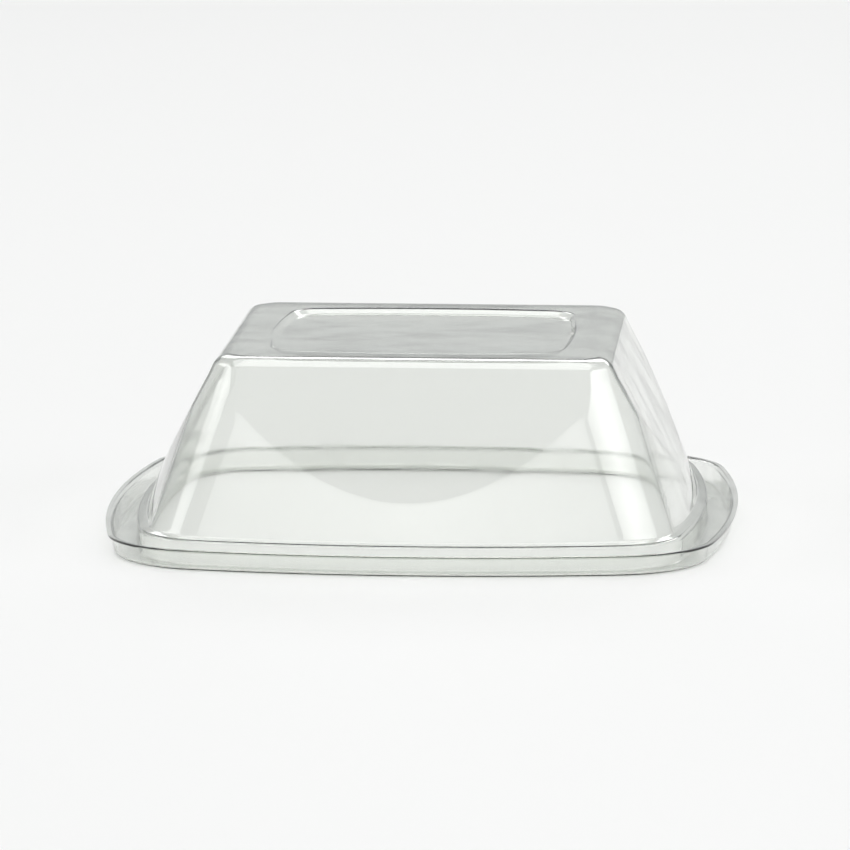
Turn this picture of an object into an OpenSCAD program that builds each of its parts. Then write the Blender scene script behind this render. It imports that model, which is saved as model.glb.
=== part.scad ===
// Square bowl of clear thermoformed sheet, standing upside down on its rim.
// Millimetres, +Z up. The origin is the middle of the rim plane, and the mouth faces down.
// The sheet has two skins: the food side, which is under it here, and the outside, which shows.

/* [Rim] */
// Width of the rim across the middles of two opposite sides
rim_w = 140; // [126:1:160]
// Corner radius of the rim, seen from above
rim_corner_r = 24; // [20:1:28]
// Radius of the shallow outward bow of every side, seen from above
side_bow_r = 260; // [240:5:340]
// Width of the trim lip that stands out around the skirt
lip_w = 1.6; // [1.4:0.1:2]
// Height of the skirt that is turned back around the rim, to the top of its lip
skirt_h = 4.7; // [3:0.1:4.8]
// Slant of the skirt, from its lip to the flange
skirt_slant = 0.5; // [0.2:0.1:0.8]
// Width of the flat flange that the bowl stands on
flange_w = 5; // [4:0.1:6]

/* [Stacking shoulder] */
// Height of the shoulder, which holds a nested bowl off by a little less than this
shoulder_h = 5.6; // [5.2:0.1:7]
// How far the shoulder overhangs the mouth, so that a nested bowl stops on it
shoulder_undercut = 0.4; // [0.2:0.1:0.6]
// Width of the ledge between the shoulder and the wall
ledge_w = 2.3; // [1.8:0.1:3]
// Rise of the ledge across its width
ledge_rise = 0.5; // [0.2:0.1:0.8]

/* [Body] */
// Height of the bowl, from the rim plane to the foot
bowl_h = 43; // [38:1:50]
// Width of the base across two opposite flat panels
base_w = 85; // [80:1:90]
// Corner radius of the rounded body at the base, before the panels are cut
base_corner_r = 14; // [13.5:0.5:17]
// Height at which the flat panel of each side begins, at the middle of the side
panel_start_h = 14; // [12:0.5:18]
// Depth of the flat panel behind the bowed wall, at the base
panel_cut = 4.3; // [3:0.1:4.8]

/* [Base] */
// Radius between the wall and the foot
base_edge_r = 4; // [3:0.5:5]
// Width from the base's edge to the inner edge of the foot
foot_w = 9; // [8:0.5:10]
// Depth of the middle panel below the foot
push_up = 1.1; // [0.6:0.1:1.6]

/* [Sheet] */
// Thickness of the sheet
sheet_t = 0.5; // [0.4:0.05:0.6]

/* [Smoothness] */
// Steps across half of a flat panel
panel_steps = 3; // [2:1:4]
// Steps from a panel's edge to the corner's diagonal
bow_steps = 6; // [5:1:8]
// Steps along a flat panel, from its tip to the base
rise_steps = 6; // [5:1:8]

/* [Hidden] */

bend_r = 0.6;          // inside radius of the small bends, on the outside skin
turn_r = 0.9;          // radius of the bends that turn towards the food side
small_steps = 2;       // steps around a small bend
edge_steps = 3;        // steps around the base's edge
step_slant = 1.2;      // slant of the step from the foot to the middle panel
bow_share = 3;         // how many steps a degree of the bow gets for each one of the corner
tip_spread = 0.7;      // degrees of the bow that the columns span at a panel's tip
rim_spread = 6;        // degrees of the bow that they span at the rim
settle = 2;            // height below the foot where the outline has its final shape
corner_ease = 0.7;     // how far a corner's centre moves in for each mm inside the base's edge

skirt_x = rim_w / 2 - lip_w;
flange_x = skirt_x - skirt_slant;
mouth_x = flange_x - flange_w;
ledge_x = mouth_x + shoulder_undercut - ledge_w;
wall_z = shoulder_h + ledge_rise;
foot_x = base_w / 2 - foot_w;

// How far the wall and a flat panel move in for each mm of height
wall_slope = (ledge_x - base_w / 2 - panel_cut) / (bowl_h - wall_z);
panel_slope = wall_slope + panel_cut / (bowl_h - settle - panel_start_h);

// How far behind the middle the centre of a side's bow lies
bow_back = side_bow_r - rim_w / 2;

// Where the centre of a corner's radius lies on the diagonal, for a side of radius side_r
function corner_centre(side_r, corner_r) =
    (sqrt(2 * pow(side_r - corner_r, 2) - pow(bow_back, 2)) - bow_back) / 2;

rim_centre = corner_centre(side_bow_r, rim_corner_r);
base_centre = corner_centre(bow_back + base_w / 2 + panel_cut, base_corner_r);

// Share of the way from height a to height b
function share(z, a, b) = min(1, max(0, (z - a) / (b - a)));

// Depth of the panel behind the bowed wall at a height, on the skin depth under the outside
function panel_depth(z, depth) =
    let (risen = min(1, (z - panel_start_h) / (bowl_h - settle - panel_start_h)))
    max(0, panel_cut * risen + depth * (norm([1, panel_slope]) - norm([1, wall_slope])));

// Distance of the wall's middle at a height, on the skin depth under the outside
function wall_x(z, depth) =
    ledge_x - wall_slope * (z - wall_z) - depth * norm([1, wall_slope]) - panel_depth(z, depth);

// The corner's centre for a ring at height z whose sides are x from the middle
function centre_at(x, z) =
    rim_centre + (base_centre - rim_centre) * share(z, wall_z, bowl_h - settle)
    - corner_ease * max(0, base_w / 2 - x);

// Degrees of the bow that the panel's columns span where there is no panel
function spread_at(x, z) =
    x < base_w / 2
        ? rim_spread
        : tip_spread + (rim_spread - tip_spread) * sqrt(1 - share(z, wall_z, panel_start_h));

// Half of one side at a height, as [distance from the middle, distance along the side],
// from the middle of the side to the diagonal. x is the distance of the side's middle.
// The panel fades out across the foot, so that the middle panel has bowed sides.
function half_side(x, z, depth) =
    let (
        cut = panel_depth(z, depth) * share(x, foot_x + turn_r, base_w / 2 - base_edge_r),
        centre = centre_at(x, z),
        side_r = bow_back + x + cut,
        corner_r = side_r - norm([centre, centre + bow_back]),
        tangent = atan2(centre, centre + bow_back),
        on_side = acos((x + bow_back) / side_r),
        panel_end = on_side < tangent ? on_side : acos((x - centre) / corner_r),
        start = max(panel_end, spread_at(x, z)),
        arc = function (a) a < tangent
            ? [side_r * cos(a) - bow_back, side_r * sin(a)]
            : [centre + corner_r * cos(a), centre + corner_r * sin(a)],
        bow_span = bow_share * max(0, tangent - start),
        corner_start = max(start, tangent),
        step = (bow_span + 45 - corner_start) / bow_steps,
        end = arc(start)
    )
    concat(
        [for (i = [0 : panel_steps - 1])
            let (along = end[1] * i / panel_steps)
            [min(x, sqrt(side_r * side_r - along * along) - bow_back), along]],
        [for (i = [0 : bow_steps])
            let (done = i * step)
            arc(done < bow_span ? start + done / bow_share : corner_start + done - bow_span)]
    );

// Point p turned by an angle about the origin
function turned(p, angle) =
    [p[0] * cos(angle) - p[1] * sin(angle), p[0] * sin(angle) + p[1] * cos(angle)];

half_steps = panel_steps + bow_steps;
columns = 8 * half_steps;

// One closed ring around the bowl through p, a point [x, z] of a skin's section at mid side
function ring(p, depth) =
    let (half = half_side(p[0], p[1], depth))
    [for (side = [0 : 3], j = [-half_steps : half_steps - 1])
        let (
            q = half[abs(j)],
            flat = turned([q[0], sign(j) * q[1]], 90 * side)
        )
        [flat[0], flat[1], p[1]]];

// Height of step i along a panel: the panel's edges are parabolas, so the steps grow upwards
function rise_at(i) =
    panel_start_h + (bowl_h - settle - base_edge_r - panel_start_h) * pow(i / rise_steps, 2);

// The section at mid side along the outside skin, from the lip to the middle panel.
// Each corner is [distance from the middle, height, radius, steps of its bend].
section = concat(
    [
        [rim_w / 2, skirt_h, 0, 0],
        [skirt_x, skirt_h, turn_r, small_steps],
        [flange_x, sheet_t, bend_r, small_steps],
        [mouth_x, sheet_t, bend_r, small_steps],
        [mouth_x + shoulder_undercut, shoulder_h, turn_r, small_steps],
        [ledge_x, wall_z, bend_r, small_steps]
    ],
    [for (z = [(wall_z + panel_start_h) / 2, panel_start_h]) [wall_x(z, 0), z, 0, 0]],
    [for (i = [1 : rise_steps]) [wall_x(rise_at(i), 0), rise_at(i), 0, 0]],
    [
        [wall_x(bowl_h, 0), bowl_h, base_edge_r, edge_steps],
        [foot_x, bowl_h, turn_r, small_steps],
        [foot_x - step_slant, bowl_h - push_up, bend_r, small_steps],
        [0, bowl_h - push_up, 0, 0]
    ]
);

function spot(i) = [section[i][0], section[i][1]];
function heading(i) = (spot(i + 1) - spot(i)) / norm(spot(i + 1) - spot(i));
function food_side(d) = [-d[1], d[0]];

// The bend at corner i of the section, on the skin that lies depth under the outside
function bend(i, depth) =
    let (
        before = heading(i - 1),
        after = heading(i),
        n = food_side(before) + food_side(after),
        corner = spot(i) + 2 * depth * n / (n * n),
        turn = atan2(before[0] * after[1] - before[1] * after[0], before * after),
        radius = section[i][2] - sign(turn) * depth,
        reach = radius * tan(abs(turn) / 2),
        first = corner - reach * before,
        middle = first + sign(turn) * radius * food_side(before),
        steps = section[i][3]
    )
    [for (k = [0 : steps]) middle + turned(first - middle, turn * k / steps)];

// One skin's section: the lip's end, then every bend and wall point up to the middle panel
function skin(depth) =
    concat(
        [spot(0) + depth * food_side(heading(0))],
        [for (i = [1 : len(section) - 2])
            let (z = section[i][1])
            each section[i][3] > 0 ? bend(i, depth) : [[wall_x(z, depth), z]]]
    );

// The rings of both skins as one run, from the middle of the food side around to the outside
food_rings = [for (p = skin(sheet_t)) ring(p, sheet_t)];
outside_rings = [for (p = skin(0)) ring(p, 0)];
run = concat([for (i = [len(food_rings) - 1 : -1 : 0]) food_rings[i]], outside_rings);
rings = len(run);

// Two triangles for the four points a, b, c, d in turn, split along the shorter diagonal
function split(points, a, b, c, d) =
    norm(points[a] - points[c]) < norm(points[b] - points[d])
        ? [[a, b, c], [a, c, d]]
        : [[a, b, d], [b, c, d]];

module bowl() {
    food_middle = rings * columns;
    outside_middle = food_middle + 1;
    last = (rings - 1) * columns;
    points = concat(
        [for (r = run) each r],
        [[0, 0, run[0][0][2]], [0, 0, run[rings - 1][0][2]]]
    );
    faces = concat(
        [for (k = [0 : rings - 2], j = [0 : columns - 1])
            let (
                here = k * columns,
                next = (j + 1) % columns
            )
            each split(points, here + j, here + columns + j, here + columns + next, here + next)],
        [for (j = [0 : columns - 1]) [food_middle, j, (j + 1) % columns]],
        [for (j = [0 : columns - 1]) [outside_middle, last + (j + 1) % columns, last + j]]
    );
    color([0.84, 0.89, 0.87, 0.6]) polyhedron(points = points, faces = faces, convexity = 8);
}

bowl();
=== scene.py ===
"""The looks of a square bowl of clear thermoformed sheet, standing upside down on its rim."""
import math
from typing import NamedTuple

import bpy
import numpy as np
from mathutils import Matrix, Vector


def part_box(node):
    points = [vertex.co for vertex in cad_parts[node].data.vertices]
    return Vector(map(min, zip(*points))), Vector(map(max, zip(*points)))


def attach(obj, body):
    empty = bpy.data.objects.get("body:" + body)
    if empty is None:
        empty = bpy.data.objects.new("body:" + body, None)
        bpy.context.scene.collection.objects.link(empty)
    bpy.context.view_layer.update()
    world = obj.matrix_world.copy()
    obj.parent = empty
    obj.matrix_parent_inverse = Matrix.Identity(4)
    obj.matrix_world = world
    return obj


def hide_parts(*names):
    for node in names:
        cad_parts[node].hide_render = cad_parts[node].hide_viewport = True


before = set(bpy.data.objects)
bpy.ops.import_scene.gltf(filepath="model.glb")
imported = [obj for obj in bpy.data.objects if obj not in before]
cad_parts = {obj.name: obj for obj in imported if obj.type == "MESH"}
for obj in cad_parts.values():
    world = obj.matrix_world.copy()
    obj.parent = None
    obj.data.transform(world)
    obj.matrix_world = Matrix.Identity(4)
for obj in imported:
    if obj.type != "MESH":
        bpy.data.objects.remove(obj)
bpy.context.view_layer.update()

MM = 0.001
LOW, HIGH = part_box("bowl")
CENTRE = (LOW + HIGH) / 2

# Driving dimensions of the bowl, in metres: the first two come from the frame
RIM_HALF = (HIGH.x - LOW.x) / 2
BOWL_H = HIGH.z
RIM_CORNER_R = 24 * MM
SIDE_BOW_R = 260 * MM
LIP_W = 1.6 * MM
SKIRT_H = 4.7 * MM
SKIRT_SLANT = 0.5 * MM
FLANGE_W = 5 * MM
SHOULDER_H = 5.6 * MM
SHOULDER_UNDERCUT = 0.4 * MM
LEDGE_W = 2.3 * MM
LEDGE_RISE = 0.5 * MM
BASE_HALF = 42.5 * MM
BASE_CORNER_R = 14 * MM
PANEL_START_H = 14 * MM
PANEL_CUT = 4.3 * MM
BASE_EDGE_R = 4 * MM
FOOT_W = 9 * MM
PUSH_UP = 1.1 * MM
SHEET_T = 0.5 * MM

# Radii of the sheet's bends, the second for those that turn towards the food side, the slant of the
# step to the middle panel, how far a corner's centre moves in for each metre inside the base's edge,
# and how far below the foot the outline has its final shape
BEND_R = 0.6 * MM
TURN_R = 0.9 * MM
STEP_SLANT = 1.2 * MM
CORNER_EASE = 0.7
SETTLE = 2 * MM

# How far from a panel's edge the crease is rounded, at the panel's tip and at the base
TIP_CREASE = 0.12 * MM
BASE_CREASE = 0.6 * MM

# Corners of the section at mid side, and how far behind the axis a side's bow has its centre
SKIRT_X = RIM_HALF - LIP_W
FLANGE_X = SKIRT_X - SKIRT_SLANT
MOUTH_X = FLANGE_X - FLANGE_W
LEDGE_X = MOUTH_X + SHOULDER_UNDERCUT - LEDGE_W
WALL_Z = SHOULDER_H + LEDGE_RISE
FOOT_X = BASE_HALF - FOOT_W
MIDDLE_X = FOOT_X - STEP_SLANT
BOW_BACK = SIDE_BOW_R - RIM_HALF

# Steps of the mesh: across half a panel and half a bow, around a bend and the base's edge, and
# along the wall above and below the panel's tip
PANEL_STEPS = 14
BOW_STEPS = 22
BEND_STEPS = 6
EDGE_STEPS = 10
RISE_STEPS = 40
FALL_STEPS = 14

# The steps above the tip are spaced up to this far below the foot, and the base's edge takes the
# place of the last ones
RISE_END = 3 * MM

# Powers that bunch those steps towards the panel's edge, and along the wall towards its tip
PANEL_BUNCHING = 2.2
BOW_BUNCHING = 1.4
RISE_BUNCHING = 2
FALL_BUNCHING = 1.6

# Steps that a degree of the bow gets for each one of the corner, and the degrees of the bow that
# the panel's columns span at its tip and at the rim
BOW_SHARE = 3
TIP_SPREAD = 0.7
RIM_SPREAD = 6

# The sheet: its refractive index, the ends of its faint tint, what it absorbs and how densely,
# the ends of its roughness, and the height of its ripples and how strongly they show
SHEET_IOR = 1.57
SHEET_TINTS = ((0.949, 0.953, 0.945, 1), (0.966, 0.969, 0.962, 1))
SHEET_ABSORPTION = (0.875, 0.92, 0.85, 1)
SHEET_DENSITY = 300
SHEET_ROUGHNESS = (0.02, 0.07)
RIPPLE_H = 0.6 * MM
RIPPLE_STRENGTH = 0.1

# Each noise of a material: features per metre, and octaves of finer detail. The roughness goes
# from one end to the other over the middle range of its noise
TINT_NOISE = (28, 3)
POLISH_NOISE = (90, 4)
POLISH_RANGE = (0.35, 0.7)
RIPPLE_NOISE = (60, 1.5)
FLOOR_NOISE = (2, 2)

# The round floor: its radius and sides, how far it lies under the rim, its colour and its gloss
FLOOR_R = 3.5
FLOOR_SIDES = 96
FLOOR_GAP = 0.02 * MM
FLOOR_COLOURS = ((0.84, 0.84, 0.835, 1), (0.86, 0.86, 0.855, 1))
FLOOR_ROUGHNESS = 0.55
FLOOR_GLOSS = 0.3

# The camera: its angles, its distance, the width that it sees at the bowl, and its sensor's width
# in millimetres
CAMERA_AZIMUTH = 4
CAMERA_ELEVATION = 9.5
CAMERA_DISTANCE = 1.35
VIEW_W = 0.19
SENSOR_W = 36

# The room's colour and brightness, and the heights on the unit sphere between which it darkens
ROOM_COLOUR = (0.98, 1.0, 1.0, 1)
ROOM_PALE = 0.5
ROOM_DARK = 0.22
PALE_BELOW = 0.2
DARK_ABOVE = 0.45

# Soft lights: sizes are the angles that they span seen from the bowl, and each side light has
# its name, azimuth, width and radiance
SIDE_LIGHTS = (
    ("front_light", -4, 52, 1.2),
    ("right_light", 72, 58, 2.6),
    ("back_light", 176, 52, 2.8),
    ("left_light", -92, 42, 2.5),
)
SIDE_LIGHT_ELEVATION = 32
SIDE_LIGHT_H = 17
STRAIGHT_UP = 90
TOP_LIGHT_W = 62
TOP_RADIANCE = 2.2
LIGHT_DISTANCE = 3.2

# The glow across a light: where its middle is on its own surface, and its strengths there and at
# its reach, as shares of the radiance. The top light is more even, so that the base isn't washed
# out from above
LIGHT_MIDDLE = (0.5, 0.5, 0)
SIDE_GLOW = (1.3, 0.5)
TOP_GLOW = (0.9, 0.75)
GLOW_REACH = 0.6


def share(value, low, high):
    """How far value is on the way from low to high, from 0 to 1."""
    return min(1.0, max(0.0, (value - low) / (high - low)))


def corner_centre(side_r, corner_r):
    """Where a corner's centre lies on the diagonal, for a side of radius side_r."""
    return (math.sqrt(2 * (side_r - corner_r) ** 2 - BOW_BACK**2) - BOW_BACK) / 2


RIM_CENTRE = corner_centre(SIDE_BOW_R, RIM_CORNER_R)
BASE_CENTRE = corner_centre(BOW_BACK + BASE_HALF + PANEL_CUT, BASE_CORNER_R)

# How far the wall and a flat panel move in for each metre of height, and the sheet's
# thickness in each, measured level
WALL_SLOPE = (LEDGE_X - BASE_HALF - PANEL_CUT) / (BOWL_H - WALL_Z)
PANEL_SLOPE = WALL_SLOPE + PANEL_CUT / (BOWL_H - SETTLE - PANEL_START_H)
WALL_SKEW = math.hypot(1, WALL_SLOPE)
PANEL_SKEW = math.hypot(1, PANEL_SLOPE)


def panel_depth(z, depth):
    """Depth of the flat panel behind the bowed wall: below its tip the plane is in front of the wall."""
    risen = min(1.0, (z - PANEL_START_H) / (BOWL_H - SETTLE - PANEL_START_H))
    return PANEL_CUT * risen + depth * (PANEL_SKEW - WALL_SKEW)


def wall_x(z, depth):
    """Distance of the wall's middle from the bowl's axis, on the skin that lies depth under the outside."""
    wall = LEDGE_X - WALL_SLOPE * (z - WALL_Z) - depth * WALL_SKEW
    return wall - max(0.0, panel_depth(z, depth))


def soft_least(a, b, reach):
    """The lesser of a and b, rounded where they cross, as a crease in formed sheet is."""
    near = np.maximum(reach - np.abs(a - b), 0) / reach
    return np.minimum(a, b) - near**2 * reach / 4


class Outline(NamedTuple):
    """
    A ring's rounded outline before its panels are cut.

    Its sides have the radius side_r. At the angle tangent they run into corners of the radius
    corner_r, whose centres lie on the diagonals, centre from both axes.
    """

    side_r: float
    centre: float
    corner_r: float
    tangent: float


def rounded_outline(x, z, cut):
    """The outline at a height whose panels, cut this deep, are x from the axis."""
    centre = (
        RIM_CENTRE
        + (BASE_CENTRE - RIM_CENTRE) * share(z, WALL_Z, BOWL_H - SETTLE)
        - CORNER_EASE * max(0.0, BASE_HALF - x)
    )
    side_r = BOW_BACK + x + cut
    corner_r = side_r - math.hypot(centre, centre + BOW_BACK)
    return Outline(side_r, centre, corner_r, math.atan2(centre, centre + BOW_BACK))


def panel_edge(x, outline):
    """The angle at which a panel x from the axis meets the outline, on its side or its corner."""
    angle = math.acos(min(1.0, (x + BOW_BACK) / outline.side_r))
    if angle < outline.tangent:
        return angle
    return math.acos((x - outline.centre) / outline.corner_r)


def least_spread(x, z):
    """The least angle that the panel's columns span, where the panel is narrow or there is none."""
    if x < BASE_HALF:
        return math.radians(RIM_SPREAD)
    widened = math.sqrt(1 - share(z, WALL_Z, PANEL_START_H))
    return math.radians(TIP_SPREAD + (RIM_SPREAD - TIP_SPREAD) * widened)


def bow_columns(start, outline):
    """The outline from the angle start to the diagonal: distances from the axis and along the side."""
    side_r, centre, corner_r, tangent = outline
    corner_start = max(start, tangent)
    bow_span = BOW_SHARE * max(0.0, tangent - start)
    done = (bow_span + math.pi / 4 - corner_start) * np.linspace(0, 1, BOW_STEPS + 1) ** BOW_BUNCHING
    angle = np.where(done < bow_span, start + done / BOW_SHARE, corner_start + done - bow_span)
    on_bow = angle < tangent
    away = np.where(on_bow, side_r * np.cos(angle) - BOW_BACK, centre + corner_r * np.cos(angle))
    along = np.where(on_bow, side_r * np.sin(angle), centre + corner_r * np.sin(angle))
    return away, along


def panel_columns(edge, outline):
    """The outline in front of a panel, from mid side to just short of its edge, as bow_columns."""
    side_r, centre, corner_r, tangent = outline
    along = edge * (1 - np.linspace(1, 0, PANEL_STEPS, endpoint=False) ** PANEL_BUNCHING)
    on_side = np.sqrt(side_r**2 - along**2) - BOW_BACK
    on_corner = centre + np.sqrt(np.maximum(corner_r**2 - (along - centre) ** 2, 0))
    return np.where(along > side_r * math.sin(tangent), on_corner, on_side), along


def half_side(x, z, depth):
    """
    Half of a side at a height: distances from the axis and along the side, up to the diagonal.

    The panel fades out across the foot, so that the middle panel has bowed sides.
    """
    plane_depth = panel_depth(z, depth)
    fade = share(x, FOOT_X + TURN_R, BASE_HALF - BASE_EDGE_R)
    outline = rounded_outline(x, z, max(0.0, plane_depth) * fade)
    start = max(panel_edge(x, outline), least_spread(x, z))
    bow_away, bow_along = bow_columns(start, outline)
    panel_away, panel_along = panel_columns(bow_along[0], outline)
    away = np.concatenate([panel_away, bow_away])
    along = np.concatenate([panel_along, bow_along])
    crease = TIP_CREASE + (BASE_CREASE - TIP_CREASE) * share(z, PANEL_START_H, BOWL_H - SETTLE)
    plane = x - min(0.0, plane_depth) + crease * (1 - fade)
    return soft_least(plane, away, crease), along


def turned(point, angle):
    """A point turned by an angle about the origin, or many points given as two arrays."""
    cos, sin = math.cos(angle), math.sin(angle)
    return np.array([point[0] * cos - point[1] * sin, point[0] * sin + point[1] * cos])


def ring(x, z, depth):
    """One closed ring of points around the bowl at a height, x from the axis at mid side."""
    away, along = half_side(x, z, depth)
    side_away = np.concatenate([away[:0:-1], away[:-1]])
    side_along = np.concatenate([-along[:0:-1], along[:-1]])
    sides = [turned((side_away, side_along), quarters * math.pi / 2).T for quarters in range(4)]
    flat = np.concatenate(sides)
    return np.column_stack([flat, np.full(len(flat), z)])


def section_corners():
    """The section at mid side along the outside skin, as (distance, height, radius, steps)."""
    fallen = [(i / FALL_STEPS) ** FALL_BUNCHING for i in range(FALL_STEPS - 1, -1, -1)]
    risen = [(i / RISE_STEPS) ** RISE_BUNCHING for i in range(1, RISE_STEPS)]
    heights = [PANEL_START_H + (WALL_Z - PANEL_START_H) * part for part in fallen]
    heights += [PANEL_START_H + (BOWL_H - RISE_END - PANEL_START_H) * part for part in risen]
    return (
        [
            (RIM_HALF, SKIRT_H, 0, 0),
            (SKIRT_X, SKIRT_H, TURN_R, BEND_STEPS),
            (FLANGE_X, SHEET_T, BEND_R, BEND_STEPS),
            (MOUTH_X, SHEET_T, BEND_R, BEND_STEPS),
            (MOUTH_X + SHOULDER_UNDERCUT, SHOULDER_H, TURN_R, BEND_STEPS),
            (LEDGE_X, WALL_Z, BEND_R, BEND_STEPS),
        ]
        + [(wall_x(z, 0), z, 0, 0) for z in heights if WALL_Z + BEND_R < z < BOWL_H - BASE_EDGE_R]
        + [
            (wall_x(BOWL_H, 0), BOWL_H, BASE_EDGE_R, EDGE_STEPS),
            (FOOT_X, BOWL_H, TURN_R, BEND_STEPS),
            (MIDDLE_X, BOWL_H - PUSH_UP, BEND_R, BEND_STEPS),
            (0, BOWL_H - PUSH_UP, 0, 0),
        ]
    )


def food_side(heading):
    """The direction from a stretch of the section towards the food side."""
    return np.array([-heading[1], heading[0]])


def bend(spot, before, after, radius, steps, depth):
    """Points around a bend of the section, on the skin that lies depth under the outside."""
    inward = food_side(before) + food_side(after)
    corner = spot + 2 * depth * inward / (inward @ inward)
    turn = math.atan2(before[0] * after[1] - before[1] * after[0], before @ after)
    side = math.copysign(1, turn)
    skin_r = radius - side * depth
    first = corner - skin_r * math.tan(abs(turn) / 2) * before
    middle = first + side * skin_r * food_side(before)
    return [middle + turned(first - middle, turn * k / steps) for k in range(steps + 1)]


def skin(corners, depth):
    """Points of the section on the skin that lies depth under the outside, bends rounded."""
    spots = [np.array(corner[:2]) for corner in corners]
    headings = [(b - a) / np.linalg.norm(b - a) for a, b in zip(spots, spots[1:])]
    points = [spots[0] + depth * food_side(headings[0])]
    for i, (before, after) in enumerate(zip(headings, headings[1:]), 1):
        z, radius, steps = corners[i][1:]
        if steps:
            points += bend(spots[i], before, after, radius, steps, depth)
        else:
            points.append((wall_x(z, depth), z))
    return points


def sheet_faces(rings, columns):
    """Quads between neighbouring rings, and a fan around the middle at each end of the run."""
    around = [(column, (column + 1) % columns) for column in range(columns)]
    last = (rings - 1) * columns
    food_middle = rings * columns
    outside_middle = food_middle + 1
    faces = [
        (start + a, start + b, start + b + columns, start + a + columns)
        for start in range(0, last, columns)
        for a, b in around
    ]
    faces += [(food_middle, b, a) for a, b in around]
    faces += [(outside_middle, last + a, last + b) for a, b in around]
    return faces


def mark_cut_edge(mesh, food_rings, columns):
    """Keeps the two rings at the lip's trimmed edge sharp."""
    cut_rings = (food_rings - 1, food_rings)
    sharp = mesh.attributes.new("sharp_edge", "BOOLEAN", "EDGE")
    for edge, mark in zip(mesh.edges, sharp.data):
        first, second = (vertex // columns for vertex in edge.vertices)
        mark.value = first == second and first in cut_rings


def build_bowl():
    """The bowl as one closed mesh: both skins of the sheet, and the cut edge of the lip."""
    corners = section_corners()
    food = [ring(x, z, SHEET_T) for x, z in skin(corners, SHEET_T)]
    outside = [ring(x, z, 0) for x, z in skin(corners, 0)]
    rings = food[::-1] + outside
    columns = len(rings[0])
    middles = [[0, 0, rings[0][0, 2]], [0, 0, rings[-1][0, 2]]]
    mesh = bpy.data.meshes.new("bowl_sheet")
    mesh.from_pydata(np.concatenate(rings + [middles]).tolist(), [], sheet_faces(len(rings), columns))
    mesh.update()
    mesh.shade_smooth()
    mark_cut_edge(mesh, len(food), columns)
    return link(bpy.data.objects.new("bowl_sheet", mesh))


def link(obj):
    """Puts an object in the scene."""
    bpy.context.scene.collection.objects.link(obj)
    return obj


def new_material(name):
    """A new node material: the material, its Principled shader, its nodes and its links."""
    material = bpy.data.materials.new(name)
    material.use_nodes = True
    tree = material.node_tree
    return material, tree.nodes["Principled BSDF"], tree.nodes, tree.links


def add_noise(nodes, links, scale, detail):
    """The output of a noise texture laid over the object."""
    place = nodes.new("ShaderNodeTexCoord")
    noise = nodes.new("ShaderNodeTexNoise")
    noise.inputs["Scale"].default_value = scale
    noise.inputs["Detail"].default_value = detail
    links.new(place.outputs["Object"], noise.inputs["Vector"])
    return noise.outputs["Fac"]


def add_tint(nodes, links, noise, colours):
    """The output of a colour that a noise varies between two ends."""
    mix = nodes.new("ShaderNodeMix")
    mix.data_type = "RGBA"
    first, second = [socket for socket in mix.inputs if socket.type == "RGBA"]
    first.default_value, second.default_value = colours
    links.new(noise, mix.inputs["Factor"])
    return next(socket for socket in mix.outputs if socket.type == "RGBA")


def clear_sheet_material():
    """Clear glossy sheet with a trace of grey-green, faint ripples and slightly uneven polish."""
    material, shader, nodes, links = new_material("clear_sheet")
    shader.inputs["IOR"].default_value = SHEET_IOR
    shader.inputs["Transmission Weight"].default_value = 1.0

    tint = add_tint(nodes, links, add_noise(nodes, links, *TINT_NOISE), SHEET_TINTS)
    links.new(tint, shader.inputs["Base Color"])

    polish = nodes.new("ShaderNodeMapRange")
    polish.inputs["From Min"].default_value, polish.inputs["From Max"].default_value = POLISH_RANGE
    polish.inputs["To Min"].default_value, polish.inputs["To Max"].default_value = SHEET_ROUGHNESS
    links.new(add_noise(nodes, links, *POLISH_NOISE), polish.inputs["Value"])
    links.new(polish.outputs["Result"], shader.inputs["Roughness"])

    body = nodes.new("ShaderNodeVolumeAbsorption")
    body.inputs["Color"].default_value = SHEET_ABSORPTION
    body.inputs["Density"].default_value = SHEET_DENSITY
    links.new(body.outputs["Volume"], nodes["Material Output"].inputs["Volume"])

    bump = nodes.new("ShaderNodeBump")
    bump.inputs["Strength"].default_value = RIPPLE_STRENGTH
    bump.inputs["Distance"].default_value = RIPPLE_H
    links.new(add_noise(nodes, links, *RIPPLE_NOISE), bump.inputs["Height"])
    links.new(bump.outputs["Normal"], shader.inputs["Normal"])
    return material


def floor_material():
    """Plain pale matt floor with the faintest mottle."""
    material, shader, nodes, links = new_material("floor")
    tint = add_tint(nodes, links, add_noise(nodes, links, *FLOOR_NOISE), FLOOR_COLOURS)
    links.new(tint, shader.inputs["Base Color"])
    shader.inputs["Roughness"].default_value = FLOOR_ROUGHNESS
    shader.inputs["Specular IOR Level"].default_value = FLOOR_GLOSS
    return material


def build_floor():
    """A flat round floor under the rim."""
    z = LOW.z - FLOOR_GAP
    angles = [2 * math.pi * i / FLOOR_SIDES for i in range(FLOOR_SIDES)]
    edge = [(FLOOR_R * math.cos(a), FLOOR_R * math.sin(a), z) for a in angles]
    mesh = bpy.data.meshes.new("floor")
    mesh.from_pydata(edge, [], [range(FLOOR_SIDES)])
    mesh.materials.append(floor_material())
    link(bpy.data.objects.new("floor", mesh))


def toward(azimuth, elevation):
    """Unit vector from the bowl towards a direction, in the camera's angles."""
    turn, rise = math.radians(azimuth), math.radians(elevation)
    return Vector((math.sin(turn) * math.cos(rise), -math.cos(turn) * math.cos(rise), math.sin(rise)))


def aim(obj, place):
    """Puts a camera or light at a place and points it at the bowl."""
    obj.location = place
    obj.rotation_euler = (CENTRE - place).to_track_quat("-Z", "Y").to_euler()


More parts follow.
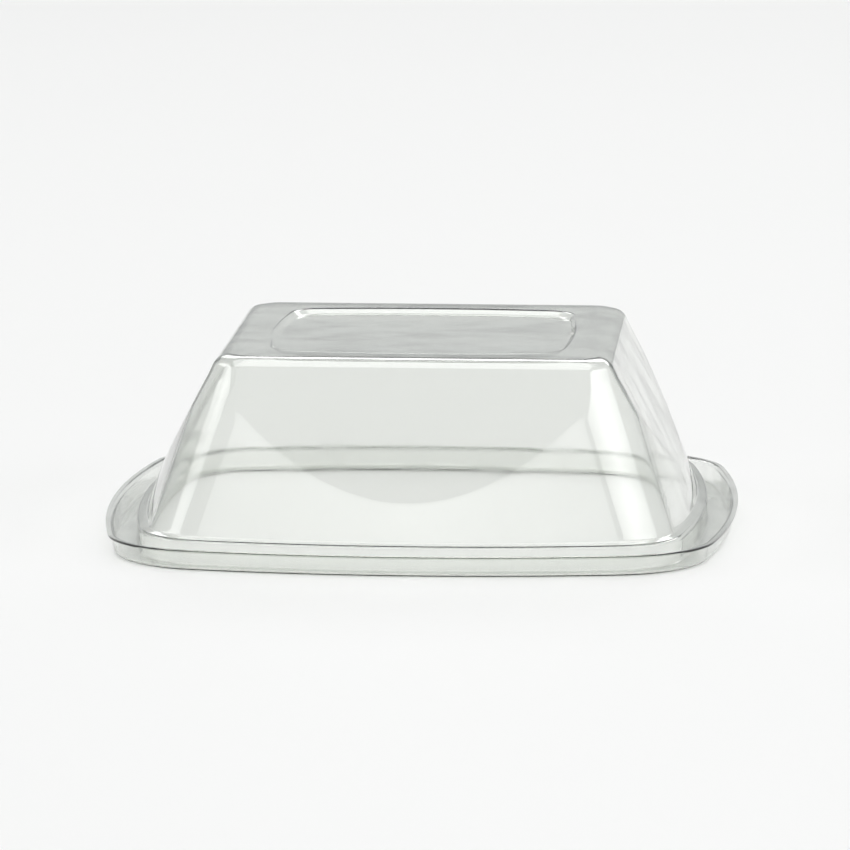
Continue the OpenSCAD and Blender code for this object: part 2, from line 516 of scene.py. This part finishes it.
def softbox(name, azimuth, elevation, width, height, radiance, glow_ends):
    """A rectangular soft light that points at the bowl and is brightest in its middle."""
    light = bpy.data.lights.new(name, "AREA")
    light.shape = "RECTANGLE"
    light.size = 2 * LIGHT_DISTANCE * math.tan(math.radians(width) / 2)
    light.size_y = 2 * LIGHT_DISTANCE * math.tan(math.radians(height) / 2)
    light.energy = radiance * math.pi * light.size * light.size_y
    light.use_nodes = True
    nodes, links = light.node_tree.nodes, light.node_tree.links
    place = nodes.new("ShaderNodeNewGeometry")
    off_middle = nodes.new("ShaderNodeVectorMath")
    off_middle.operation = "DISTANCE"
    off_middle.inputs[1].default_value = LIGHT_MIDDLE
    glow = nodes.new("ShaderNodeMapRange")
    glow.inputs["From Max"].default_value = GLOW_REACH
    glow.inputs["To Min"].default_value, glow.inputs["To Max"].default_value = glow_ends
    links.new(place.outputs["Parametric"], off_middle.inputs[0])
    links.new(off_middle.outputs["Value"], glow.inputs["Value"])
    links.new(glow.outputs["Result"], nodes["Emission"].inputs["Strength"])
    aim(link(bpy.data.objects.new(name, light)), CENTRE + LIGHT_DISTANCE * toward(azimuth, elevation))


def light_room():
    """A room that is pale near the floor's level and darker above, so that edges of clear sheet show."""
    world = bpy.data.worlds.new("room")
    bpy.context.scene.world = world
    world.use_nodes = True
    nodes, links = world.node_tree.nodes, world.node_tree.links
    place = nodes.new("ShaderNodeTexCoord")
    axes = nodes.new("ShaderNodeSeparateXYZ")
    brightness = nodes.new("ShaderNodeMapRange")
    brightness.inputs["From Min"].default_value = PALE_BELOW
    brightness.inputs["From Max"].default_value = DARK_ABOVE
    brightness.inputs["To Min"].default_value = ROOM_PALE
    brightness.inputs["To Max"].default_value = ROOM_DARK
    links.new(place.outputs["Generated"], axes.inputs["Vector"])
    links.new(axes.outputs["Z"], brightness.inputs["Value"])
    nodes["Background"].inputs["Color"].default_value = ROOM_COLOUR
    links.new(brightness.outputs["Result"], nodes["Background"].inputs["Strength"])


def place_lights():
    """A broad soft light off each side of the bowl and one above."""
    for name, azimuth, width, radiance in SIDE_LIGHTS:
        softbox(name, azimuth, SIDE_LIGHT_ELEVATION, width, SIDE_LIGHT_H, radiance, SIDE_GLOW)
    softbox("top_light", 0, STRAIGHT_UP, TOP_LIGHT_W, TOP_LIGHT_W, TOP_RADIANCE, TOP_GLOW)


def place_camera():
    """Looks at the bowl from the photograph's angle."""
    camera_data = bpy.data.cameras.new("camera")
    camera_data.sensor_width = SENSOR_W
    camera_data.lens = SENSOR_W * CAMERA_DISTANCE / VIEW_W
    camera = link(bpy.data.objects.new("camera", camera_data))
    aim(camera, CENTRE + CAMERA_DISTANCE * toward(CAMERA_AZIMUTH, CAMERA_ELEVATION))
    bpy.context.scene.camera = camera


place_camera()
bowl = build_bowl()
bowl.data.materials.append(clear_sheet_material())
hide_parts("bowl")
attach(bowl, "root")
build_floor()
light_room()
place_lights()

# Pale tones stay pale, and the sheet's reflections stay as sharp as its polish
bpy.context.scene.view_settings.view_transform = "Standard"
bpy.context.scene.cycles.blur_glossy = 0
